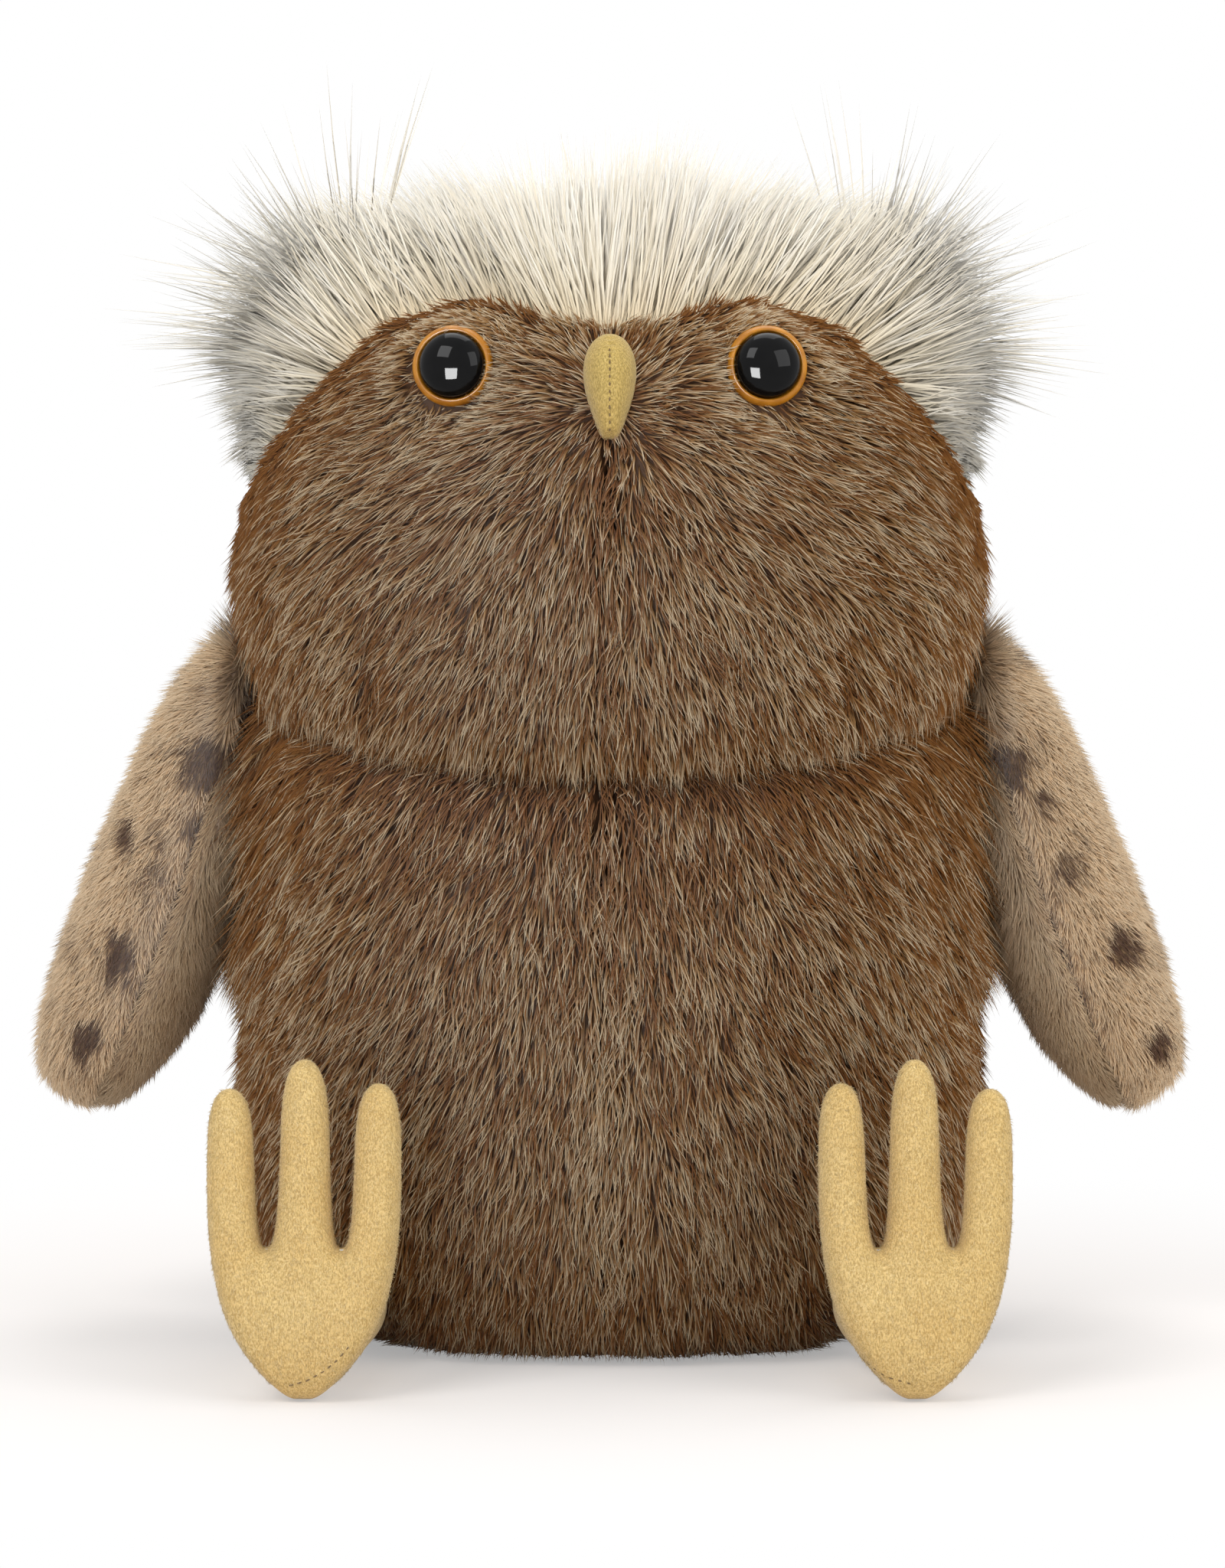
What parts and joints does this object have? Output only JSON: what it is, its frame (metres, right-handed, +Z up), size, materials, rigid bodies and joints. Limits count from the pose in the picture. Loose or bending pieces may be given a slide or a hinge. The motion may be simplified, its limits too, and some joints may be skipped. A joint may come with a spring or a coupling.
{
  "type": "plush owl",
  "caption": "Seated plush owl with a brown plush body, a cream long-pile mane, spotted wings that lift, and suede legs that swing.",
  "frame": {"origin": "centre of the flat base, on the floor", "axes": "+Z up, the face looks along -Y, the owl's own left side is at +X"},
  "size_m": [0.27, 0.2092, 0.2817],
  "materials": {
    "brown_plush": "frosted brown plush with a pile of about 11 mm",
    "cream_pile": "cream plush with a pile of about 45 mm",
    "spotted_plush": "beige plush with dark brown spots, pile of about 5 mm",
    "beige_plush": "plain beige plush, pile of about 5 mm",
    "yellow_suede": "soft yellow suede cloth",
    "amber_plastic": "glossy amber",
    "black_plastic": "high-gloss black",
    "white_nylon": "plain moulded nylon",
    "fibre": "white polyester fibre",
    "lining": "plain woven lining"
  },
  "bodies": {
    "torso": {"left_face_panel": "brown_plush", "right_face_panel": "brown_plush", "nape_panel": "brown_plush", "mane": "cream_pile", "left_belly_panel": "brown_plush", "right_belly_panel": "brown_plush", "back_panel": "brown_plush", "base_panel": "brown_plush", "head_stuffing": "fibre", "body_stuffing": "fibre", "bean_bag": "lining", "beak_cover": "yellow_suede", "beak_stuffing": "fibre", "left_eye_iris": "amber_plastic", "left_eye_pupil": "black_plastic", "left_eye_washer": "white_nylon", "right_eye_iris": "amber_plastic", "right_eye_pupil": "black_plastic", "right_eye_washer": "white_nylon"},
    "left_wing": {"left_wing_outer_panel": "spotted_plush", "left_wing_inner_panel": "beige_plush", "left_wing_stuffing": "fibre"},
    "right_wing": {"right_wing_outer_panel": "spotted_plush", "right_wing_inner_panel": "beige_plush", "right_wing_stuffing": "fibre"},
    "left_leg_and_foot": {"left_leg": "yellow_suede", "left_foot_sole": "yellow_suede", "left_foot_back": "yellow_suede", "left_foot_stuffing": "fibre"},
    "right_leg_and_foot": {"right_leg": "yellow_suede", "right_foot_sole": "yellow_suede", "right_foot_back": "yellow_suede", "right_foot_stuffing": "fibre"}
  },
  "joints": [
    {"name": "left_wing_lift", "type": "hinge", "parent": "torso", "child": "left_wing", "pos_m": [0.08955, 0.004, 0.154], "axis": [0, -1, 0], "range_deg": [0, 70]},
    {"name": "right_wing_lift", "type": "hinge", "parent": "torso", "child": "right_wing", "pos_m": [-0.08955, 0.004, 0.154], "axis": [0, 1, 0], "range_deg": [0, 70]},
    {"name": "left_leg_swing", "type": "hinge", "parent": "torso", "child": "left_leg_and_foot", "pos_m": [0.06072, -0.05215, 0.0135], "axis": [1, 0, 0], "range_deg": [-10, 65]},
    {"name": "right_leg_swing", "type": "hinge", "parent": "torso", "child": "right_leg_and_foot", "pos_m": [-0.06072, -0.05215, 0.0135], "axis": [1, 0, 0], "range_deg": [-10, 65]}
  ]
}
